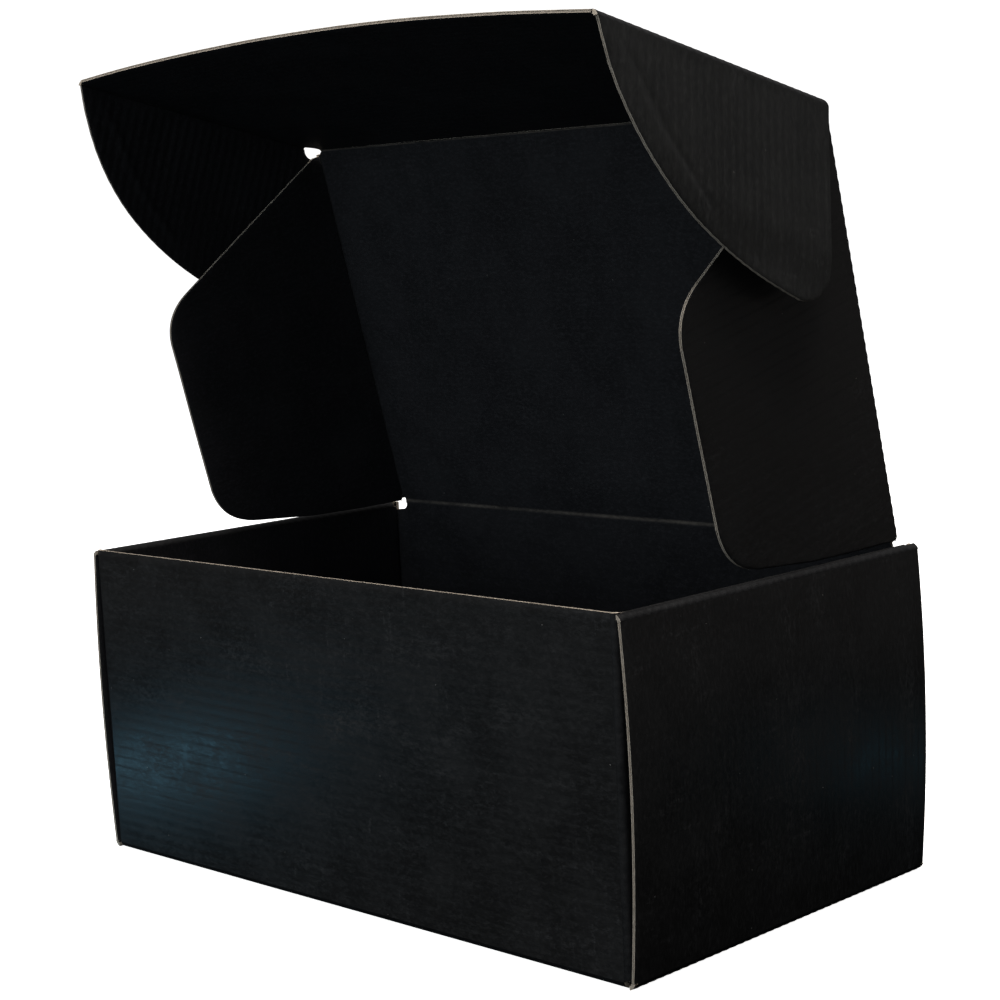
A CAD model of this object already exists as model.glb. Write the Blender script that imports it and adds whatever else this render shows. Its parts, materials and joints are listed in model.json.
"""A black corrugated mailer box with its lid open.

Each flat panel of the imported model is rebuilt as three-ply board: two printed liners with a fluted sheet
between them. Each crease is rebuilt as the crushed board folded between its two panels.
Lengths are in millimetres until a mesh is made. A panel's own coordinates are a, along the flutes,
b, across them, and t, outward through the board, with 0 on the board's middle plane.
"""

import json
import math

import bpy
import numpy as np
from mathutils import Matrix, Vector


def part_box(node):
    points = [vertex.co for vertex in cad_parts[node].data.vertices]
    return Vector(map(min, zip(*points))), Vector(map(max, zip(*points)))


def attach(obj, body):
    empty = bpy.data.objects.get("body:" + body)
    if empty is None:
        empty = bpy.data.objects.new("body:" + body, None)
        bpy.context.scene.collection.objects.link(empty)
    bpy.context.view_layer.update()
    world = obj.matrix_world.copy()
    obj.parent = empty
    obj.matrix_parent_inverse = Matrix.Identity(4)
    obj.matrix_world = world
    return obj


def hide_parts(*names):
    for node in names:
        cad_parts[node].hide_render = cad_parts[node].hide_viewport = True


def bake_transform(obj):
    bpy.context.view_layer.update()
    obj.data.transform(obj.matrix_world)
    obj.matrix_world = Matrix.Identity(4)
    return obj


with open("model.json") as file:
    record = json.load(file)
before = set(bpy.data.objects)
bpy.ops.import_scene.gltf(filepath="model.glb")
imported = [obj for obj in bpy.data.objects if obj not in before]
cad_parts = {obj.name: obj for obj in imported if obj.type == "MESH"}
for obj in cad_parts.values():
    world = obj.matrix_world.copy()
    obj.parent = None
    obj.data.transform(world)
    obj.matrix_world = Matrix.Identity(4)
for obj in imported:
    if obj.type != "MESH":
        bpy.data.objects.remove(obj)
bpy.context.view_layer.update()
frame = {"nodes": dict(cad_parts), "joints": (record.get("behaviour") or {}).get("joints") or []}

MM = 0.001
X = np.array([1.0, 0.0, 0.0])
Y = np.array([0.0, 1.0, 0.0])
Z = np.array([0.0, 0.0, 1.0])
SIDES = (("left", -1), ("right", 1))
ENDS = (("front", -1), ("back", 1))

# ---- the board ----
BOARD = (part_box("front_wall")[1].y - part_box("front_wall")[0].y) / MM
LINER = 0.22
MEDIUM = 0.15
PITCH = 3.2                 # E-flute: one wave of the fluted sheet
ROW_STEP = PITCH / 6        # spacing of mesh rows across the flutes, on the liners
FLUTE_STEP = PITCH / 10     # and on the fluted sheet
COLUMN_STEP = 6.0           # spacing of mesh columns along the flutes
FLAT_STEP = 40.0            # and on the fluted sheet of a panel that is flat
EDGE_OFFSETS = (0.12, 0.35, 0.8, 1.6, 3.0)      # extra rows and columns this far from an edge
LEAST_STEP = 0.04           # rows or columns closer than this are merged
HOLE_EDGE = 0.002           # a row lies this far to each side of a slot's end
PINCH = 0.34                # how much of its thickness the board loses at a die-cut edge
PINCH_REACH = 0.6           # and how far in from the edge that fades
FLUTE_INSET = 0.05          # the fluted sheet ends this far inside a cut edge
FLUTE_GAP = 0.01            # and is this far from each liner
WARP_FADE = 12              # a panel's warp and marks fade out over this distance from a crease
RIDGE_FADE = 2.5            # and its ridges over this one
BUMP_LENGTHS = (90, 64, 45, 31, 22)             # of the bumps that make board uneven
LINER_LAYER = 40.0          # the board attribute's third number on the outer liner, less the panel's seed
FOLD_LAYER = 90             # and on a crease, less the length of its name

WALLS = "walls_and_base"
JOINTS = {j["name"]: j for j in frame["joints"]}


def node_box(name):
    low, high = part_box(name)
    return np.array(low) / MM, np.array(high) / MM


def node_points(name):
    return np.array([v.co for v in frame["nodes"][name].data.vertices]) / MM


def hinge_place(name):
    return np.array(JOINTS[name]["pos_m"]) / MM


def hinge_axis(name):
    axis = np.array(JOINTS[name]["axis"], float)
    return axis / np.linalg.norm(axis)


def fold_angle(name):
    """A folded panel's angle from its parent's plane: its hinge's travel to the unfolded limit."""
    return math.radians(JOINTS[name]["range_deg"][1])


def level(a, b):
    """The bow of a flat panel, and the marks of a plain one."""
    return 0 * a


def smoothstep(x):
    x = np.clip(x, 0, 1)
    return x * x * (3 - 2 * x)


def wave(b):
    """The fluted sheet's height, from -1 at the inner liner to 1 at the outer one."""
    return np.cos(2 * np.pi * b / PITCH)


def unevenness(a, b, seed):
    """Smooth bumps from -1 to 1, some 20 to 90 mm long, different for each seed."""
    draw = np.random.default_rng(seed)
    total = np.zeros(np.broadcast(a, b).shape)
    longest = BUMP_LENGTHS[0]
    for length in BUMP_LENGTHS:
        angle, phase = draw.uniform(0, 2 * np.pi, 2)
        k = 2 * np.pi / length
        total = total + np.sin(k * (a * np.cos(angle) + b * np.sin(angle)) + phase) * (length / longest)
    return total / (sum(BUMP_LENGTHS) / longest)


# ---- closed meshes from grids ----
def shell(top, bottom, top_coords, bottom_coords, cells=None, bottom_finish=0):
    """A closed skin between two grids of points: (points, quads, finish per quad, board coordinates)."""
    rows, columns = top.shape[:2]
    if cells is None:
        cells = np.ones((rows - 1, columns - 1), bool)
    index = np.arange(rows * columns).reshape(rows, columns)
    below = rows * columns
    i, j = np.nonzero(cells)
    upper = np.stack([index[i, j], index[i + 1, j], index[i + 1, j + 1], index[i, j + 1]], 1)
    quads = [upper, upper[:, ::-1] + below]
    finish = [np.zeros(len(upper), int), np.full(len(upper), bottom_finish)]
    ringed = np.pad(cells, 1)

    def wall(p, q):
        quads.append(np.stack([q, p, p + below, q + below], 1))
        finish.append(np.ones(len(p), int))

    i, j = np.nonzero(ringed[1:-1, 1:] & ~ringed[1:-1, :-1])
    wall(index[i, j], index[i + 1, j])
    i, j = np.nonzero(~ringed[1:-1, 1:] & ringed[1:-1, :-1])
    wall(index[i + 1, j], index[i, j])
    i, j = np.nonzero(ringed[1:, 1:-1] & ~ringed[:-1, 1:-1])
    wall(index[i, j + 1], index[i, j])
    i, j = np.nonzero(~ringed[1:, 1:-1] & ringed[:-1, 1:-1])
    wall(index[i, j], index[i, j + 1])
    points = np.concatenate([top.reshape(-1, 3), bottom.reshape(-1, 3)])
    coords = np.concatenate([top_coords.reshape(-1, 3), bottom_coords.reshape(-1, 3)])
    quads = np.concatenate(quads)
    if signed_volume(points, quads) < 0:
        quads = quads[:, ::-1]
    return points, quads, np.concatenate(finish), coords


def signed_volume(points, quads):
    p, q, r, s = (points[quads[:, k]] for k in range(4))
    return (np.cross(p, q) * r + np.cross(p, r) * s).sum()


def mesh_piece(name, shells, finishes):
    """One object from closed skins, with its smooth faces, finishes and board coordinates."""
    points, quads, finish, coords, first = [], [], [], [], 0
    for p, q, f, c in shells:
        points.append(p)
        quads.append(q + first)
        finish.append(f)
        coords.append(c)
        first += len(p)
    points, quads, finish, coords = map(np.concatenate, (points, quads, finish, coords))
    used = np.unique(quads)
    renumber = np.zeros(len(points), int)
    renumber[used] = np.arange(len(used))
    mesh = bpy.data.meshes.new(name)
    mesh.from_pydata((points[used] * MM).tolist(), [], renumber[quads].tolist())
    mesh.polygons.foreach_set("material_index", finish.astype(np.int32))
    mesh.polygons.foreach_set("use_smooth", np.ones(len(finish), bool))
    attribute = mesh.attributes.new("board", "FLOAT_VECTOR", "POINT")
    attribute.data.foreach_set("vector", coords[used].astype(np.float32).ravel())
    mesh.set_sharp_from_angle(angle=math.radians(40))
    for material in finishes:
        mesh.materials.append(material)
    piece = bpy.data.objects.new(name, mesh)
    bpy.context.scene.collection.objects.link(piece)
    return piece


# ---- materials ----
# Shading numbers stand where they are used: thresholds, shares and scales of noise, each tuned by eye.
def node_tree(name):
    material = bpy.data.materials.new(name)
    material.use_nodes = True
    tree = material.node_tree
    return material, tree, tree.nodes["Principled BSDF"]


def node(tree, kind, inputs=None, **settings):
    made = tree.nodes.new(kind)
    for key, value in settings.items():
        setattr(made, key, value)
    for key, value in (inputs or {}).items():
        if isinstance(value, bpy.types.NodeSocket):
            tree.links.new(value, made.inputs[key])
        else:
            made.inputs[key].default_value = value
    return made


def noise(tree, coords, scale, detail=3.0, roughness=0.55, stretch=(1, 1, 1)):
    """Noise in board coordinates, with scale in bumps per millimetre."""
    moved = node(tree, "ShaderNodeMapping", {"Vector": coords, "Scale": stretch})
    inputs = {"Vector": moved.outputs[0], "Scale": scale, "Detail": detail, "Roughness": roughness}
    return node(tree, "ShaderNodeTexNoise", inputs).outputs["Fac"]


def ramp(tree, value, low, high, to_low=0.0, to_high=1.0):
    inputs = {0: value, 1: low, 2: high, 3: to_low, 4: to_high}
    return node(tree, "ShaderNodeMapRange", inputs, interpolation_type="SMOOTHSTEP").outputs[0]


def maths(tree, operation, first, second=0.0):
    return node(tree, "ShaderNodeMath", {0: first, 1: second}, operation=operation).outputs[0]


def mixed(tree, share, first, second):
    made = node(tree, "ShaderNodeMix", data_type="RGBA")
    for key, value in ((0, share), (6, first), (7, second)):
        if isinstance(value, bpy.types.NodeSocket):
            tree.links.new(value, made.inputs[key])
        else:
            made.inputs[key].default_value = (*value, 1) if isinstance(value, tuple) else value
    return made.outputs[2]


def board_coords(tree):
    return node(tree, "ShaderNodeAttribute", attribute_name="board").outputs["Vector"]


def flute_stripes(tree, coords):
    """Narrow dark lines between the ridges: 0 on a line and 1 on a ridge, fainter here and there."""
    across = node(tree, "ShaderNodeSeparateXYZ", {"Vector": coords}).outputs[1]
    waver = maths(tree, "MULTIPLY", noise(tree, coords, 0.12, 2, 0.5, (0.4, 1, 1)), 1.4)
    phase = maths(tree, "ADD", maths(tree, "MULTIPLY", across, 2 * math.pi / PITCH), waver)
    line = ramp(tree, maths(tree, "COSINE", phase), -1, -0.45)
    broken = ramp(tree, noise(tree, coords, 0.22, 3, 0.6, (0.45, 1.6, 1)), 0.42, 0.58, 0, 0.75)
    return maths(tree, "MAXIMUM", line, broken)


def scuff_mask(tree, coords, fibre):
    """Long soft smears along the flutes, with finer scratches across them."""
    smear = ramp(tree, noise(tree, coords, 0.05, 5, 0.75, (0.5, 1.6, 1)), 0.5, 0.74)
    scratch = ramp(tree, noise(tree, coords, 0.3, 4, 0.7, (1.6, 0.22, 1)), 0.56, 0.68)
    scratch = maths(tree, "MULTIPLY", scratch, ramp(tree, noise(tree, coords, 0.02, 2), 0.42, 0.6))
    return maths(tree, "MULTIPLY", maths(tree, "ADD", smear, scratch), ramp(tree, fibre, 0.4, 0.65))


def crease_mask(tree, coords, fibre):
    """Wear along the middle of a fold: the fraction of the layer number is the place across the fold."""
    layer = node(tree, "ShaderNodeSeparateXYZ", {"Vector": coords}).outputs[2]
    across = maths(tree, "MULTIPLY", maths(tree, "FRACT", layer), math.pi)
    ridge = maths(tree, "POWER", maths(tree, "SINE", across), 2.2)
    patches = ramp(tree, noise(tree, coords, 0.05, 4, 0.7), 0.3, 0.68, 0.2, 1)
    worn = maths(tree, "MULTIPLY", ridge, patches)
    return maths(tree, "MULTIPLY", worn, ramp(tree, fibre, 0.3, 0.6, 0.4, 1))


def dust_specks(tree, coords, share):
    """Small pale specks in that share of the cells of a 4 mm pattern."""
    cell = node(tree, "ShaderNodeTexVoronoi", {"Vector": coords, "Scale": 0.25, "Randomness": 1.0})
    near = ramp(tree, cell.outputs["Distance"], 0.028, 0.045, 1, 0)
    drawn = node(tree, "ShaderNodeSeparateColor", {"Color": cell.outputs["Color"]}).outputs[0]
    return maths(tree, "MULTIPLY", near, maths(tree, "GREATER_THAN", drawn, 1 - share))


def printed_liner(name, colour, worn, roughness, specular, scuffs, dust, lines, wear=scuff_mask):
    """Black ink on a paper liner: mottled, lined by the flutes, scuffed and a little dusty."""
    material, tree, shader = node_tree(name)
    coords = board_coords(tree)
    mottle = noise(tree, coords, 0.045, 5, 0.65)
    fibre = noise(tree, coords, 1.1, 6, 0.8, (0.5, 1, 1))
    grain = noise(tree, coords, 1.5, 4, 0.8)
    dark = tuple(0.55 * c for c in colour)
    light = tuple(2.0 * c for c in colour)
    tone = mixed(tree, ramp(tree, mottle, 0.35, 0.65), tuple(0.72 * c for c in colour), colour)
    gaps = maths(tree, "MULTIPLY", maths(tree, "SUBTRACT", 1.0, flute_stripes(tree, coords)), lines)
    tone = mixed(tree, gaps, tone, dark)
    tone = mixed(tree, ramp(tree, fibre, 0.45, 0.7, 0, 0.6), tone, light)
    tone = mixed(tree, ramp(tree, grain, 0.55, 0.7, 0, 0.7), tone, light)
    rub = wear(tree, coords, fibre)
    tone = mixed(tree, maths(tree, "MULTIPLY", rub, scuffs), tone, worn)
    tone = mixed(tree, dust_specks(tree, coords, dust), tone, DUST)
    tree.links.new(tone, shader.inputs["Base Color"])
    gloss = ramp(tree, mottle, 0.3, 0.7, roughness - 0.06, roughness + 0.06)
    gloss = maths(tree, "ADD", gloss, ramp(tree, fibre, 0.3, 0.7, -0.07, 0.09))
    gloss = maths(tree, "ADD", gloss, maths(tree, "MULTIPLY", rub, 0.15))
    gloss = maths(tree, "ADD", gloss, maths(tree, "MULTIPLY", gaps, 0.2))
    tree.links.new(gloss, shader.inputs["Roughness"])
    shader.inputs["Specular IOR Level"].default_value = specular
    height = maths(tree, "ADD", fibre, maths(tree, "MULTIPLY", grain, 0.7))
    bump = node(tree, "ShaderNodeBump", {"Height": height, "Strength": 0.45, "Distance": 0.00003})
    tree.links.new(bump.outputs[0], shader.inputs["Normal"])
    return material


def bare_paper(name, pale, dark, scale):
    """Unprinted paper at a cut edge or inside the board."""
    material, tree, shader = node_tree(name)
    coords = board_coords(tree)
    fibre = noise(tree, coords, 3.5 * scale, 4, 0.7)
    patch = noise(tree, coords, 0.35 * scale, 3)
    tone = mixed(tree, ramp(tree, fibre, 0.3, 0.7), dark, pale)
    deeper = tuple(0.55 * c for c in dark)
    tone = mixed(tree, ramp(tree, patch, 0.5, 0.8, 0, 0.7), tone, deeper)
    tree.links.new(tone, shader.inputs["Base Color"])
    tree.links.new(ramp(tree, fibre, 0.2, 0.8, 0.8, 0.95), shader.inputs["Roughness"])
    shader.inputs["Specular IOR Level"].default_value = 0.2
    bump = node(tree, "ShaderNodeBump", {"Height": fibre, "Strength": 0.6, "Distance": 0.00005})
    tree.links.new(bump.outputs[0], shader.inputs["Normal"])
    return material


DUST = (0.2, 0.19, 0.18)
WORN = (0.055, 0.055, 0.057)
BROWNED = (0.19, 0.165, 0.14)
INK = (0.0115, 0.0112, 0.0112)
INNER_INK = (0.021, 0.021, 0.023)
EAR_INK = (0.0125, 0.0128, 0.0122)
FOLDED_INK = (0.0085, 0.0085, 0.009)
OUTSIDE = printed_liner("outside_liner", INK, WORN, 0.42, 0.32, 0.3, 0.3, 0.45)
EARS = printed_liner("ear_liner", EAR_INK, WORN, 0.45, 0.42, 0.2, 0.2, 1.0)
INSIDE = printed_liner("inside_liner", INNER_INK, WORN, 0.55, 0.08, 0.2, 0.15, 0.15)
CREASED = printed_liner("creased_liner", FOLDED_INK, WORN, 0.5, 0.16, 0.2, 0.1, 0.0, crease_mask)
WORN_CREASE = printed_liner("worn_crease", INNER_INK, BROWNED, 0.6, 0.1, 0.85, 0.1, 0.0, crease_mask)
CUT_EDGE = bare_paper("cut_edge", (0.58, 0.52, 0.44), (0.33, 0.27, 0.21), 1.0)
FLUTED = bare_paper("fluted_sheet", (0.3, 0.235, 0.17), (0.17, 0.125, 0.085), 0.7)


# ---- panels ----
class Panel:
    """A flat or bowed sheet of board in the place of one CAD node.

    along and across are the directions of a and b, and out is the way the printed outer liner faces.
    folds names the edges that end in a crease; the others are die cut.
    """

    def __init__(self, name, body, along, across, out, folds, origin=(0, 0, 0), **look):
        self.name, self.body = name, body
        self.along, self.across, self.out = (np.asarray(v, float) for v in (along, across, out))
        self.origin = np.asarray(origin, float)
        self.folds = folds
        self.ridge = look.get("ridge", 0.03)
        self.warp = look.get("warp", 0.0)
        self.sunk = 1 if body == WALLS else 0    # a wall is uneven only inward
        self.bow = look.get("bow", level)
        self.marks = look.get("marks", level)
        self.holes = look.get("holes", ())
        self.reliefs = look.get("reliefs", ())   # round cuts at corners: (a, b, radius)
        self.column_step = look.get("column_step", COLUMN_STEP)
        self.flute_columns = self.column_step if self.warp or "marks" in look else FLAT_STEP
        self.seed = look.get("seed", 1)
        self.inside = look.get("inside", INSIDE)
        self.outside = look.get("outside", OUTSIDE)
        vertices = node_points(name) - self.origin
        self.outline = np.stack([vertices @ self.along, vertices @ self.across], 1)
        self.middle = (vertices @ self.out).min() + BOARD / 2
        self.low, self.high = self.outline[:, 1].min(), self.outline[:, 1].max()

    def at(self, a, b, t):
        lift = (self.middle + t + self.bow(a, b))[..., None]
        return self.origin + a[..., None] * self.along + b[..., None] * self.across + lift * self.out

    def span(self, b):
        """Lowest and highest a of the outline at each b."""
        ring = hull(self.outline)
        b = np.clip(b, ring[:, 1].min(), ring[:, 1].max())
        start, end = ring, np.roll(ring, -1, axis=0)
        rise = end[:, 1] - start[:, 1]
        sloped = np.abs(rise) > 1e-6
        share = (b[:, None] - start[sloped, 1]) / rise[sloped]
        a = start[sloped, 0] + share * (end[sloped, 0] - start[sloped, 0])
        crosses = (share > -1e-6) & (share < 1 + 1e-6)
        return np.where(crosses, a, np.inf).min(1), np.where(crosses, a, -np.inf).max(1)

    def grid(self, step, column_offsets, column_step, inset=0.0):
        """Rows and columns of (a, b), closer together near the edges."""
        low = self.low + (0 if "low" in self.folds else inset)
        high = self.high - (0 if "high" in self.folds else inset)
        rows = stations(low, high, step, EDGE_OFFSETS[:3])
        extra = [edge + side * HOLE_EDGE for hole in self.holes for edge in hole[2:] for side in (-1, 1)]
        rows = np.unique(np.concatenate([rows, [r for r in extra if low < r < high]]))
        start, end = self.span(rows)
        start = start + (0 if "start" in self.folds else inset)
        end = end - (0 if "end" in self.folds else inset)
        middle = (start.min() + end.max()) / 2
        for a, b, radius in self.reliefs:
            bite = np.sqrt(np.maximum(radius ** 2 - (rows - b) ** 2, 0))
            if a < middle:
                start = np.where(bite > 0, np.maximum(start, a + bite), start)
            else:
                end = np.where(bite > 0, np.minimum(end, a - bite), end)
        longest = max(end - start)
        columns = stations(0, longest, column_step, column_offsets) / longest
        for hole in self.holes:
            edges = [(edge - start[0]) / longest for edge in hole[:2]]
            columns = np.unique(np.concatenate([columns, edges]))
        a = start[:, None] + columns * (end - start)[:, None]
        b = np.repeat(rows[:, None], len(columns), 1)
        return a, b, start[:, None], end[:, None]

    def cells(self, a, b):
        middle_a = (a[1:, 1:] + a[:-1, :-1]) / 2
        middle_b = (b[1:, 1:] + b[:-1, :-1]) / 2
        kept = np.ones(middle_a.shape, bool)
        for a0, a1, b0, b1 in self.holes:
            kept &= ~((middle_a > a0) & (middle_a < a1) & (middle_b > b0) & (middle_b < b1))
        return kept

    def edge_distances(self, a, b, start, end):
        """How far a point is from the nearest cut edge, and from the nearest crease."""
        apart = {"start": a - start, "end": end - a, "low": b - self.low, "high": self.high - b}
        cut = np.full(a.shape, 1e3)
        crease = np.full(a.shape, 1e3)
        for edge, distance in apart.items():
            target = crease if edge in self.folds else cut
            np.minimum(target, distance, out=target)
        for a0, a1, b0, b1 in self.holes:
            beyond = np.maximum(np.maximum(a0 - a, a - a1), np.maximum(b0 - b, b - b1))
            np.minimum(cut, np.maximum(beyond, 0), out=cut)
        return np.maximum(cut, 0), np.maximum(crease, 0)

    def surfaces(self, a, b, start, end):
        """Half the board's thickness, how far the whole board is pushed out, and the ridges' share."""
        cut, crease = self.edge_distances(a, b, start, end)
        half = BOARD / 2 * (1 - PINCH * np.exp(-cut / PINCH_REACH))
        push = self.warp * (unevenness(a, b, self.seed) - self.sunk) + self.marks(a, b)
        return half, push * smoothstep(crease / WARP_FADE), smoothstep(crease / RIDGE_FADE)

    def liner(self, side):
        a, b, start, end = self.grid(ROW_STEP, EDGE_OFFSETS, self.column_step)
        half, push, fade = self.surfaces(a, b, start, end)
        depth = self.ridge * (1 + 0.5 * unevenness(a, b, self.seed + 50)) * fade
        face = half - depth * (1 - side * wave(b)) / 2
        coords = np.stack([a, b, np.full(a.shape, side * LINER_LAYER + self.seed)], -1)
        outer = self.at(a, b, push + side * face)
        inner = self.at(a, b, push + side * (face - LINER))
        skin = shell(outer, inner, coords, coords + [0, 0, 0.3], self.cells(a, b), bottom_finish=1)
        crease = self.edge_distances(a, b, start, end)[1].ravel()
        at_crease = crease[skin[1] % crease.size].max(1) < 0.01
        skin[2][at_crease & (skin[2] == 1)] = 3
        return skin

    def fluting(self):
        a, b, start, end = self.grid(FLUTE_STEP, EDGE_OFFSETS[1:4], self.flute_columns, FLUTE_INSET)
        half, push, fade = self.surfaces(a, b, start, end)
        swing = half - LINER - MEDIUM / 2 - FLUTE_GAP
        middle = push + swing * wave(b)
        coords = np.stack([a, b, middle + self.seed], -1)
        over = self.at(a, b, middle + MEDIUM / 2)
        under = self.at(a, b, middle - MEDIUM / 2)
        return shell(over, under, coords, coords, self.cells(a, b))

    def build(self, slot):
        shells = [self.liner(1)]
        inner = self.liner(-1)
        finish = np.where(inner[2] == 0, 2, inner[2])
        shells.append((inner[0], inner[1], finish, inner[3]))
        finishes = [self.outside, CUT_EDGE, self.inside, CREASED]
        board = mesh_piece(self.name + "_liners", shells, finishes)
        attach(board, self.body)
        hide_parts(self.name)
        flutes = mesh_piece(self.name + "_fluting", [self.fluting()], [FLUTED, CUT_EDGE])
        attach(flutes, self.body)


def stations(low, high, step, offsets):
    """Evenly spaced values from low to high, with some more close to both ends."""
    count = max(1, round((high - low) / step))
    even = np.linspace(low, high, count + 1)
    near = [low + o for o in offsets] + [high - o for o in offsets]
    near = [v for v in near if low < v < high]
    values = np.unique(np.concatenate([even, near]))
    keep = np.concatenate([[True], np.diff(values) > LEAST_STEP])
    keep[-1] = True
    return values[keep]


def hull(points):
    """The convex outline round points, in order."""
    ordered = sorted({(round(float(p[0]), 4), round(float(p[1]), 4)) for p in points})

    def half(sequence):
        chain = []
        for p in sequence:
            while len(chain) > 1 and turn(chain[-2], chain[-1], p) <= 0:
                chain.pop()
            chain.append(p)
        return chain[:-1]

    return np.array(half(ordered) + half(ordered[::-1]))


def turn(p, q, r):
    return (q[0] - p[0]) * (r[1] - p[1]) - (q[1] - p[1]) * (r[0] - p[0])


# ---- creases ----
CRUSH = 0.1                 # how far the board's outer face sinks along a crease
INNER_CRUSH = 0.4           # share of that by which its inner face rises
CRUMPLE = 0.03              # unevenness of a crease
FOLD_BEAD = 0.15            # how deep the flutes show along a crease that crosses them
TAB_BEAD = 0.05             # and along a tab's crease
FOLD_ARC_POINTS = 11
PLAIN_FOLD_STEP = 4.0       # spacing of mesh rows on a crease along the flutes


class Fold:
    """The crushed board between two panels that meet at a crease.

    first_way and second_way point from the crease into each panel, and run is along the crease.
    crosses is True where the crease runs across the flutes, which show as beads along it.
    """

    def __init__(self, name, first, second, first_way, second_way, run, crosses, ends=None,
                 bead=FOLD_BEAD):
        self.name, self.first, self.second = name, first, second
        self.bead = bead
        self.first_way, self.second_way = np.asarray(first_way, float), np.asarray(second_way, float)
        self.run, self.crosses = np.asarray(run, float), crosses
        planes = np.array([first.out, second.out, self.run])
        offsets = [first.out @ first.origin + first.middle, second.out @ second.origin + second.middle]
        origin = second.origin if second.origin.any() else first.origin
        self.corner = np.linalg.solve(planes, [*offsets, self.run @ origin])
        opening = math.acos(np.clip(self.first_way @ self.second_way, -1, 1))
        self.bend = math.pi - opening
        self.setback = self.gap_to(first, self.first_way)
        vertices = node_points(name) - origin
        self.ends = ends or ((vertices @ self.run).min(), (vertices @ self.run).max())
        self.start_at = self.run @ origin

    def gap_to(self, panel, way):
        return ((node_points(panel.name) - self.corner) @ way).min()

    def build(self):
        radius = self.setback / math.tan(self.bend / 2)
        halfway = self.first_way + self.second_way
        halfway /= np.linalg.norm(halfway)
        centre = self.corner + halfway * self.setback / math.cos((math.pi - self.bend) / 2)
        spoke = (self.corner + self.first_way * self.setback - centre) / radius
        turn_axis = np.cross(spoke, -self.first_way)
        turn_axis /= np.linalg.norm(turn_axis)
        side = np.cross(turn_axis, spoke)
        step = PITCH / 8 if self.crosses else PLAIN_FOLD_STEP
        rows = stations(*self.ends, step, EDGE_OFFSETS[:2])
        share = np.linspace(0, 1, FOLD_ARC_POINTS)
        angle = share * self.bend
        spokes = np.cos(angle)[:, None] * spoke + np.sin(angle)[:, None] * side
        middle = np.sin(np.pi * share)
        sunk = CRUSH * middle + 0 * rows[:, None]
        if self.crosses:
            sunk = sunk + self.bead * middle * (1 - wave(rows)[:, None]) / 2
        sunk = sunk + CRUMPLE * middle * unevenness(rows[:, None], 40 * share, len(self.name))
        along = centre + (rows[:, None] - (centre @ self.run - self.start_at)) * self.run
        outer_radius = (radius + BOARD / 2 - sunk)[..., None]
        inner_radius = (radius - BOARD / 2 + INNER_CRUSH * sunk)[..., None]
        outer = along[:, None] + outer_radius * spokes
        inner = along[:, None] + inner_radius * spokes
        arc = share * self.bend * (radius + BOARD / 2)
        across = np.broadcast_to(arc, sunk.shape)
        running = np.broadcast_to(rows[:, None], sunk.shape)
        pair = (across, running) if self.crosses else (running, across)
        layer = FOLD_LAYER + len(self.name) + 0.98 * share       # its fraction is the place across the fold
        coords = np.stack([*pair, np.broadcast_to(layer, sunk.shape)], -1)
        skin = shell(outer, inner, coords, coords + [0, 0, 7.0], bottom_finish=0 if self.crosses else 2)
        finishes = [CREASED, CUT_EDGE, WORN_CREASE]
        piece = mesh_piece(self.name + "_fold", [skin], finishes)
        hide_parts(self.name)
        if self.first.body == self.second.body:
            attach(piece, self.first.body)
            return
        chord = self.second_way - self.first_way
        chord /= np.linalg.norm(chord)
        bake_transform(piece)


# ---- the box: base, walls and rolled sides ----
TONGUE_PLACES = (-30, 30)   # the middles of the inner walls' tongues, and of their slots, along the walls
SLOT_HALF = 12.3
SLOT_CLEARANCE = 0.3
ROLL_SCORE = 2.6            # the second score line on an outer wall is this far below its top
ROLL_SCORE_DEPTH = 0.16


def parabola(low, high, amount):
    """A bow of that many millimetres halfway between low and high."""
    return lambda value: amount * (1 - ((2 * value - low - high) / (high - low)) ** 2)


def slot_holes():
    """The four slots in the base round the inner walls' tongues."""
    holes = []
    for side, _ in SIDES:
        low, high = node_box(f"{side}_inner_wall")
        for y in TONGUE_PLACES:
            holes.append((low[0] - SLOT_CLEARANCE, high[0] + SLOT_CLEARANCE, y - SLOT_HALF, y + SLOT_HALF))
    return holes


def outer_wall(side, sign):
    name = f"{side}_outer_wall"
    low, high = node_box(name)
    depth = high[0] - low[0] - BOARD
    bow = parabola(low[2], high[2], depth)
    top = high[2]

    def marks(a, b):
        score = -ROLL_SCORE_DEPTH * np.exp(-((a - (top - ROLL_SCORE)) / 0.55) ** 2)
        return score * (0.7 + 0.3 * wave(b))

    return Panel(name, WALLS, Z, Y, sign * X, ("start", "end"), bow=lambda a, b: bow(a),
                 marks=marks, ridge=0.02, warp=0.05, seed=11 + sign)


def inner_wall(side, sign):
    return Panel(f"{side}_inner_wall", WALLS, Z, Y, -sign * X, ("end",), ridge=0.02, seed=21 + sign,
                 outside=INSIDE)


def walls():
    panels = {"base": Panel("base_panel", WALLS, X, Y, -Z, ("start", "end", "low", "high"),
                            ridge=0.025, seed=3, holes=slot_holes())}
    for end, sign in ENDS:
        folds = ("start", "end", "low") if end == "front" else ("start", "end", "low", "high")
        reliefs = [(way * FLAP_X, hinge_place("lid_hinge")[2] - HINGE_RELIEF_DROP, HINGE_RELIEF)
                   for way in (-1, 1) if end == "back"]
        panels[end] = Panel(f"{end}_wall", WALLS, X, Z, sign * Y, folds, ridge=0.022, warp=0.05,
                            seed=5 + sign, reliefs=reliefs)
        for side, way in SIDES:
            near = "start" if sign < 0 else "end"
            panels[f"{end}_{side}_tab"] = Panel(f"{end}_{side}_tab", WALLS, Y, Z, way * X, (near,), seed=31)
    for side, sign in SIDES:
        panels[f"{side}_outer"] = outer_wall(side, sign)
        panels[f"{side}_strip"] = Panel(f"{side}_roll_strip", WALLS, X, Y, Z, ("start", "end"), seed=41)
        panels[f"{side}_inner"] = inner_wall(side, sign)
    return panels


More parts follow.
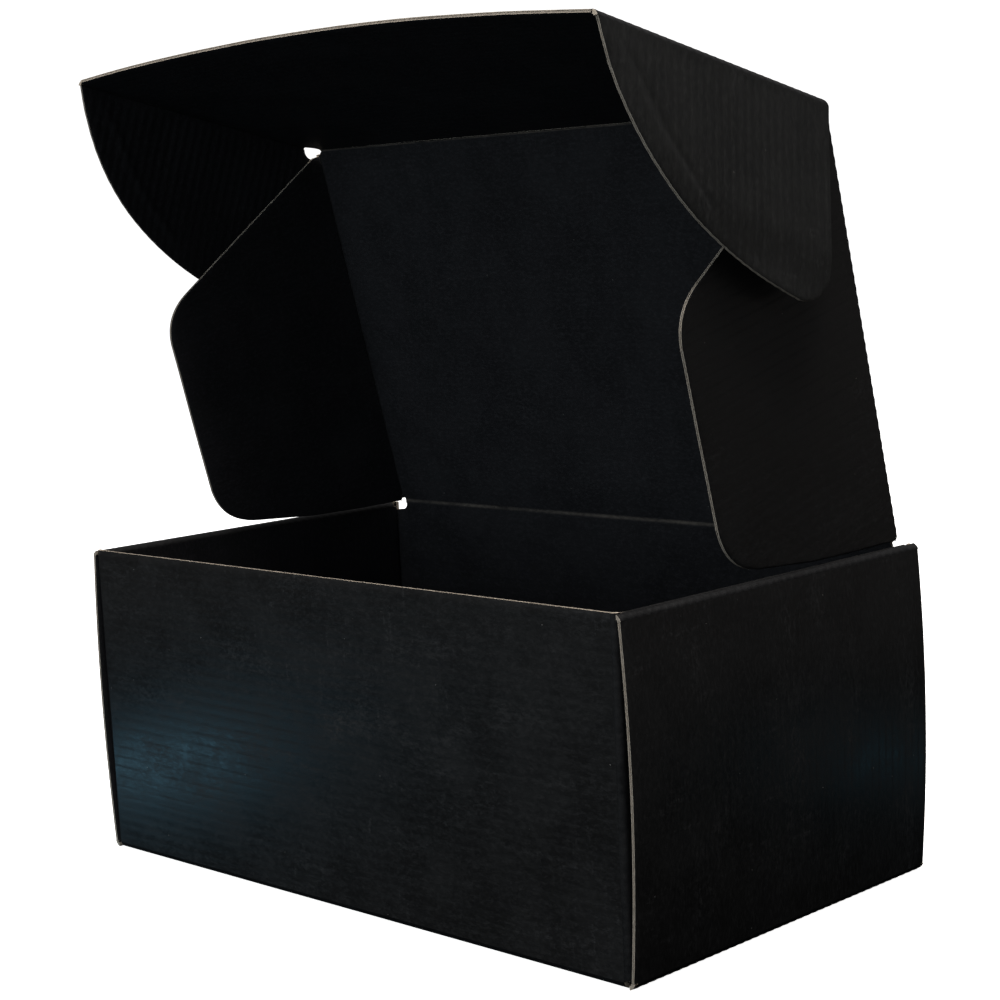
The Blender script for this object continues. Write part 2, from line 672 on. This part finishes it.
# ---- the lid, its side flaps, the tuck and its ears ----
HINGE_RELIEF = 2.1          # radius of the round hole at each end of the lid's hinge
HINGE_RELIEF_DROP = 1.2     # its centre is this far below the hinge
TUCK_RELIEF = 1.7           # and at each end of the tuck's crease
# Where that hole runs on into the tuck and its ear: its centre's distance past the crease, and its radius.
EAR_RELIEFS = {"left": (1.5, 3.6), "right": (0, TUCK_RELIEF)}
LID_RUN = hinge_axis("right_flap_hinge")
LID_OUT = np.cross(LID_RUN, X)
LID_LENGTH = np.linalg.norm(hinge_place("tuck_hinge") - hinge_place("lid_hinge"))
TUCK_RUN = hinge_axis("right_ear_hinge")
TUCK_OUT = np.cross(TUCK_RUN, X)
FLAP_X = hinge_place("right_flap_hinge")[0]
EAR_X = hinge_place("right_ear_hinge")[0]


def side_panel(name, body, joint, sign, run, out, **look):
    """A lid flap or tuck ear, turned down from its parent about the hinge along run."""
    angle = fold_angle(joint)
    reach = sign * math.cos(angle) * X - math.sin(angle) * out
    facing = sign * math.sin(angle) * X + math.cos(angle) * out
    return Panel(name, body, reach, run, facing, ("start",), hinge_place(joint), **look)


def tuck_panel():
    half = node_box("tuck_panel")[1][0]
    points = node_points("tuck_panel") - hinge_place("tuck_hinge")
    length = max(points @ TUCK_RUN)
    heights = points @ TUCK_OUT
    amount = heights.max() - heights.min() - BOARD
    return Panel("tuck_panel", "tuck", X, TUCK_RUN, TUCK_OUT, ("start", "end", "low"),
                 hinge_place("tuck_hinge"), ridge=0.02, warp=0.1, seed=61,
                 bow=lambda a, b: amount * (1 - (a / half) ** 2) * b / length,
                 reliefs=[(way * EAR_X, *EAR_RELIEFS[side]) for side, way in SIDES])


DENT_AT = 90                # where a + b puts the ears' dent, and how far it wavers from that line
DENT_WAVER = 1.2
DENT_DEPTH = 0.3
EAR_BEND = 0.9              # how far an ear bends inward beyond the dent, and again at its tip
BAND_AT = 3.8               # the middle of the flattened band, from the tuck's crease
BAND_DEPTH = 0.2


def ear_marks(a, b):
    """A diagonal dent, a tip that bends inward, and a flattened band beside the straight edge."""
    beyond = (a + b - DENT_AT + DENT_WAVER * np.sin(a / 5)) / math.sqrt(2)
    dent = DENT_DEPTH * np.exp(-(beyond / 1.5) ** 2) * smoothstep((46 - a) / 12)
    bent = EAR_BEND * smoothstep(beyond / 14)
    tip = EAR_BEND * smoothstep((a - 40 + 0.12 * b) / 14)
    band = BAND_DEPTH * np.exp(-((b - BAND_AT) / 0.6) ** 2)
    return -(dent + bent + tip + band)


def lid_parts():
    corners = [(way * FLAP_X, run, radius) for way in (-1, 1)
               for run, radius in ((-HINGE_RELIEF_DROP, HINGE_RELIEF), (LID_LENGTH, TUCK_RELIEF))]
    lid = Panel("lid_panel", "lid", X, LID_RUN, LID_OUT, ("start", "end", "low", "high"),
                hinge_place("lid_hinge"), ridge=0.02, warp=0.12, seed=51, reliefs=corners)
    panels = {"lid": lid, "tuck": tuck_panel()}
    for side, sign in SIDES:
        panels[f"{side}_flap"] = side_panel(
            f"{side}_lid_flap", f"{side}_flap", f"{side}_flap_hinge", sign, LID_RUN, LID_OUT,
            ridge=0.02, warp=0.15, seed=71 + sign,
            reliefs=[(0, -HINGE_RELIEF_DROP, HINGE_RELIEF), (0, LID_LENGTH, TUCK_RELIEF)])
        panels[f"{side}_ear"] = side_panel(
            f"{side}_tuck_ear", f"{side}_ear", f"{side}_ear_hinge", sign, TUCK_RUN, TUCK_OUT,
            ridge=0.1, warp=0.15, seed=81 + sign, marks=ear_marks, column_step=0.9, outside=EARS,
            reliefs=[(0, *EAR_RELIEFS[side])])
    return panels


def creases(p):
    folds = []
    for end, sign in ENDS:
        folds.append(Fold(f"base_{end}_crease", p["base"], p[end], -sign * Y, Z, X, False))
        for side, way in SIDES:
            tab = p[f"{end}_{side}_tab"]
            ends = (tab.low, p[end].high)
            folds.append(Fold(f"{end}_{side}_tab_crease", p[end], tab, -way * X, -sign * Y, Z, True, ends,
                              bead=TAB_BEAD))
    for side, sign in SIDES:
        outer, strip, inner = (p[f"{side}_{part}"] for part in ("outer", "strip", "inner"))
        ends = (outer.low, outer.high)
        folds.append(Fold(f"base_{side}_crease", p["base"], outer, -sign * X, Z, Y, True, ends))
        folds.append(Fold(f"{side}_roll_outer_crease", outer, strip, -Z, -sign * X, Y, True, ends))
        folds.append(Fold(f"{side}_roll_inner_crease", strip, inner, sign * X, -Z, Y, True))
        flap, ear = p[f"{side}_flap"], p[f"{side}_ear"]
        folds.append(Fold(f"{side}_lid_flap_crease", p["lid"], flap, -sign * X, flap.along, LID_RUN, True,
                          (HINGE_RELIEF - HINGE_RELIEF_DROP, LID_LENGTH - TUCK_RELIEF)))
        folds.append(Fold(f"{side}_tuck_ear_crease", p["tuck"], ear, -sign * X, ear.along, TUCK_RUN, True,
                          (sum(EAR_RELIEFS[side]), ear.high + 0.5)))
    bite = math.sqrt(HINGE_RELIEF ** 2 - HINGE_RELIEF_DROP ** 2)
    ends = (bite - FLAP_X, FLAP_X - bite)
    folds.append(Fold("lid_crease", p["back"], p["lid"], -Z, LID_RUN, X, False, ends))
    ends = (TUCK_RELIEF - FLAP_X, FLAP_X - TUCK_RELIEF)
    folds.append(Fold("tuck_crease", p["lid"], p["tuck"], -LID_RUN, TUCK_RUN, X, False, ends))
    return folds


def build_box():
    panels = {**walls(), **lid_parts()}
    hidden = [name for name in panels if "tab" in name or "inner" in name]
    for name, panel in panels.items():
        panel.build("black_inside" if name in hidden else "black_outside")
    for fold in creases(panels):
        fold.build()


# ---- studio ----
# The camera was fitted to the box's corners: angles in degrees, distances in millimetres.
FIT_AZIMUTH, FIT_ELEVATION, FIT_ROLL = 45.08, 9.48, -2.77
FIT_FOCAL = 2162.7             # in thousandths of the picture's width
FIT_CENTRE = (498.7, 584.7)
FIT_ACROSS, FIT_UP, FIT_DISTANCE = -0.4, 82.2, 654.0
HORIZON, ZENITH = (0.025, 0.026, 0.029), (0.28, 0.28, 0.285)


def camera():
    azimuth, elevation, roll = (math.radians(v) for v in (FIT_AZIMUTH, FIT_ELEVATION, FIT_ROLL))
    back = Vector((math.sin(azimuth) * math.cos(elevation), -math.cos(azimuth) * math.cos(elevation),
                   math.sin(elevation)))
    right = Vector((math.cos(azimuth), math.sin(azimuth), 0))
    up = back.cross(right)
    right, up = (right * math.cos(roll) + up * math.sin(roll),
                 up * math.cos(roll) - right * math.sin(roll))
    place = (right * FIT_ACROSS + up * FIT_UP + back * FIT_DISTANCE) * MM
    data = bpy.data.cameras.new("camera")
    data.sensor_width = 36
    data.lens = FIT_FOCAL * 36 / 1000
    data.shift_x = (500 - FIT_CENTRE[0]) / 1000
    data.shift_y = (FIT_CENTRE[1] - 500) / 1000
    data.clip_start, data.clip_end = 0.05, 50
    made = bpy.data.objects.new("camera", data)
    turned = Matrix((right, up, back)).transposed().to_4x4()
    made.matrix_world = Matrix.Translation(place) @ turned
    bpy.context.scene.collection.objects.link(made)
    bpy.context.scene.camera = made


def soft_light(name, place, aim, size, power, colour):
    data = bpy.data.lights.new(name, "AREA")
    data.shape = "RECTANGLE"
    data.size, data.size_y = size
    data.energy = power
    data.color = colour
    made = bpy.data.objects.new(name, data)
    made.location = place
    made.rotation_euler = (Vector(aim) - Vector(place)).to_track_quat("-Z", "Y").to_euler()
    made.visible_camera = False
    bpy.context.scene.collection.objects.link(made)


def plain(name, colour, strength):
    material, tree, shader = node_tree(name)
    shader.inputs["Base Color"].default_value = (*colour, 1)
    shader.inputs["Roughness"].default_value = 0.9
    shader.inputs["Emission Color"].default_value = (*colour, 1)
    shader.inputs["Emission Strength"].default_value = strength
    return material


def table():
    """What the box reflects of the table: dark close by and paler further off. The camera doesn't see it."""
    bpy.ops.mesh.primitive_plane_add(size=14, location=(0, 0, -0.0006))
    made = bpy.context.object
    made.name = "table_shade"
    material, tree, shader = node_tree("table_shade")
    place = node(tree, "ShaderNodeTexCoord").outputs["Object"]
    away = node(tree, "ShaderNodeVectorMath", {0: place}, operation="LENGTH").outputs["Value"]
    shader.inputs["Base Color"].default_value = (0, 0, 0, 1)
    shader.inputs["Specular IOR Level"].default_value = 0
    shader.inputs["Emission Color"].default_value = (1, 0.93, 0.87, 1)
    tree.links.new(ramp(tree, away, 0.25, 1.8, 0.003, 0.17), shader.inputs["Emission Strength"])
    made.data.materials.append(material)
    made.visible_camera = False
    made.visible_shadow = False


def studio():
    world = bpy.data.worlds.new("studio")
    world.use_nodes = True
    tree = world.node_tree
    direction = node(tree, "ShaderNodeTexCoord").outputs["Generated"]
    height = node(tree, "ShaderNodeSeparateXYZ", {"Vector": direction}).outputs[2]
    sky = mixed(tree, ramp(tree, height, 0.0, 0.7), HORIZON, ZENITH)
    tree.links.new(sky, tree.nodes["Background"].inputs[0])
    bpy.context.scene.world = world
    bpy.context.scene.view_settings.view_transform = "Standard"
    bpy.ops.mesh.primitive_plane_add(size=40, location=(0, 0, -0.0002))
    floor = bpy.context.object
    floor.name = "floor"
    bpy.ops.mesh.primitive_uv_sphere_add(radius=8, segments=48, ring_count=24)
    backdrop = bpy.context.object
    backdrop.name = "backdrop"
    for stage, strength in ((floor, 0.97), (backdrop, 1.0)):
        stage.data.materials.append(plain(stage.name, (1, 1, 1), strength))
        stage.visible_diffuse = False
        stage.visible_glossy = False
        stage.visible_shadow = False
    table()
    soft_light("overhead", (0.18, -0.2, 1.6), (0.1, 0, 0.1), (1.0, 1.0), 32, (1, 0.95, 0.9))
    soft_light("front_fill", (0.2, -1.6, 0.35), (0, 0, 0.1), (1.2, 0.8), 7, (0.8, 0.92, 1))
    # The two bluish gleams, low on the front wall and on the right one.
    low_left, low_right = (-0.098, -0.063, 0.02), (0.11, 0.066, 0.025)
    soft_light("low_left", (-0.156, -0.121, 0.007), low_left, (0.05, 0.012), 0.009, (0.3, 0.72, 1))
    soft_light("low_right", (0.17, 0.124, 0.01), low_right, (0.04, 0.012), 0.001, (0.3, 0.75, 1))


build_box()
camera()
studio()
